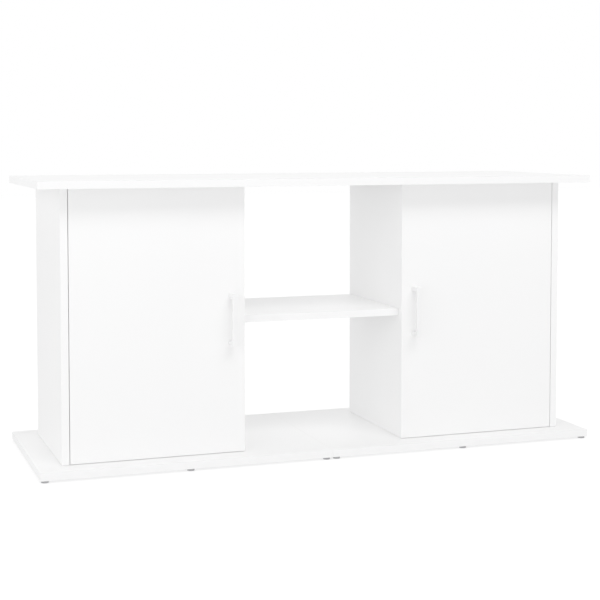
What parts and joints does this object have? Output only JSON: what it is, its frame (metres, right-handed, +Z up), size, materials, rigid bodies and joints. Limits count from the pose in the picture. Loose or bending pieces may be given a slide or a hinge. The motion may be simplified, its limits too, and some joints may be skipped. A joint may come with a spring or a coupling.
{
  "type": "aquarium stand cabinet",
  "caption": "Low white board cabinet that carries a long aquarium: overhanging top and base, a hinged door at each end and an open centre bay with a shelf.",
  "frame": {"origin": "on the floor, under the middle of the cabinet", "axes": "+Z up, +X along the length to the right as seen from the front, +Y from the front to the back"},
  "size_m": [1.2, 0.4, 0.58],
  "materials": {
    "white_board": "smooth satin white melamine on engineered wood, with matching edge band",
    "white_hardboard": "thin white lacquered hardboard, matt",
    "handle_metal": "pale satin coated metal",
    "hinge_steel": "nickel plated pressed steel, satin",
    "screw_steel": "zinc plated steel",
    "foot_plastic": "mid grey moulded plastic, slightly glossy",
    "white_plastic": "white moulded plastic"
  },
  "bodies": {
    "carcass": {"back_board_left": "white_hardboard", "back_board_right": "white_hardboard", "base_panel_left": "white_board", "base_panel_right": "white_board", "cam_cap_divider_left_front": "white_plastic", "cam_cap_divider_left_rear": "white_plastic", "cam_cap_divider_right_front": "white_plastic", "cam_cap_divider_right_rear": "white_plastic", "cam_cap_side_left_front": "white_plastic", "cam_cap_side_left_rear": "white_plastic", "cam_cap_side_right_front": "white_plastic", "cam_cap_side_right_rear": "white_plastic", "centre_shelf": "white_board", "divider_left": "white_board", "divider_right": "white_board", "foot_left_front_inner": "foot_plastic", "foot_left_front_middle": "foot_plastic", "foot_left_front_outer": "foot_plastic", "foot_left_rear_inner": "foot_plastic", "foot_left_rear_middle": "foot_plastic", "foot_left_rear_outer": "foot_plastic", "foot_right_front_inner": "foot_plastic", "foot_right_front_middle": "foot_plastic", "foot_right_front_outer": "foot_plastic", "foot_right_rear_inner": "foot_plastic", "foot_right_rear_middle": "foot_plastic", "foot_right_rear_outer": "foot_plastic", "hinge_arm_left_lower": "hinge_steel", "hinge_arm_left_upper": "hinge_steel", "hinge_arm_right_lower": "hinge_steel", "hinge_arm_right_upper": "hinge_steel", "hinge_plate_left_lower": "hinge_steel", "hinge_plate_left_upper": "hinge_steel", "hinge_plate_right_lower": "hinge_steel", "hinge_plate_right_upper": "hinge_steel", "magnetic_catch_left": "white_plastic", "magnetic_catch_right": "white_plastic", "side_panel_left": "white_board", "side_panel_right": "white_board", "top_panel": "white_board"},
    "left_door": {"door_left": "white_board", "handle_left": "handle_metal", "handle_screw_left_lower": "screw_steel", "handle_screw_left_upper": "screw_steel", "hinge_cup_left_lower": "hinge_steel", "hinge_cup_left_upper": "hinge_steel", "hinge_pin_left_lower": "screw_steel", "hinge_pin_left_upper": "screw_steel", "strike_plate_left": "screw_steel"},
    "right_door": {"door_right": "white_board", "handle_right": "handle_metal", "handle_screw_right_lower": "screw_steel", "handle_screw_right_upper": "screw_steel", "hinge_cup_right_lower": "hinge_steel", "hinge_cup_right_upper": "hinge_steel", "hinge_pin_right_lower": "screw_steel", "hinge_pin_right_upper": "screw_steel", "strike_plate_right": "screw_steel"}
  },
  "joints": [
    {"name": "left_door_hinge", "type": "hinge", "parent": "carcass", "child": "left_door", "pos_m": [-0.51875, -0.1438, 0.2925], "axis": [0, 0, -1], "range_deg": [0, 95]},
    {"name": "right_door_hinge", "type": "hinge", "parent": "carcass", "child": "right_door", "pos_m": [0.51875, -0.1438, 0.2925], "axis": [0, 0, 1], "range_deg": [0, 95]}
  ]
}
